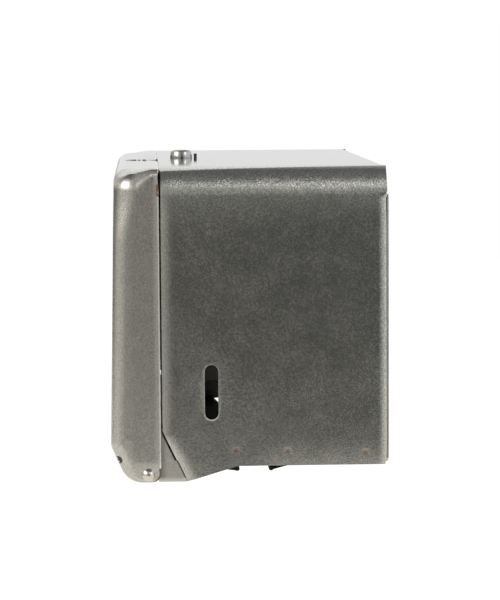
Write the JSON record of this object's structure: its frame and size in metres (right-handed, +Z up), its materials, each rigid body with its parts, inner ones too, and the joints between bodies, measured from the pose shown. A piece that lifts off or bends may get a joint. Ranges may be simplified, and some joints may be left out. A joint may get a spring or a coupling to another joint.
{
  "type": "folded tissue dispenser",
  "caption": "Wall-mounted sheet-steel dispenser for folded tissues, with a drop-front door, a bottom throat, refill view slots and a cam lock in the top",
  "frame": {"origin": "Middle of the four wall holes, on the rear face of the back plate", "axes": "+X points to the right of someone who faces the door, +Y points into the wall, +Z is up"},
  "size_m": [0.3034, 0.146, 0.17],
  "materials": {
    "cabinet_steel": "aged bead-blasted stainless steel, worn lighter at edges",
    "door_steel": "aged bead-blasted stainless steel, worn lighter at edges",
    "plate_steel": "plain mill-finish steel",
    "rivet_steel": "polished rivet with rust at its edge",
    "lock_chrome": "polished chrome",
    "lock_brass": "turned brass",
    "hardware_steel": "zinc-plated steel"
  },
  "bodies": {
    "cabinet": {"body_shell": "cabinet_steel", "back_plate": "plate_steel", "front_throat_plate": "plate_steel", "rear_throat_plate": "plate_steel", "hinge_rivet_right": "rivet_steel", "hinge_rivet_left": "rivet_steel", "hinge_washer_right": "hardware_steel", "hinge_washer_left": "hardware_steel", "lock_housing": "lock_chrome", "lock_toothed_washer": "hardware_steel", "lock_nut": "hardware_steel", "guide_pin": "hardware_steel"},
    "door": {"door_shell": "door_steel", "door_strike": "hardware_steel"},
    "lock_core": {"lock_plug": "lock_brass", "lock_wafers": "lock_brass", "lock_stop_plate": "hardware_steel", "lock_cam": "hardware_steel", "cam_washer": "hardware_steel", "cam_screw": "hardware_steel"}
  },
  "joints": [
    {"name": "door_hinge", "type": "hinge", "parent": "cabinet", "child": "door", "pos_m": [0, -0.1269, -0.0742], "axis": [1, 0, 0], "range_deg": [0, 100]},
    {"name": "lock_turn", "type": "hinge", "parent": "cabinet", "child": "lock_core", "pos_m": [0, -0.1061, 0.08], "axis": [0, 0, 1], "range_deg": [0, 90]}
  ]
}
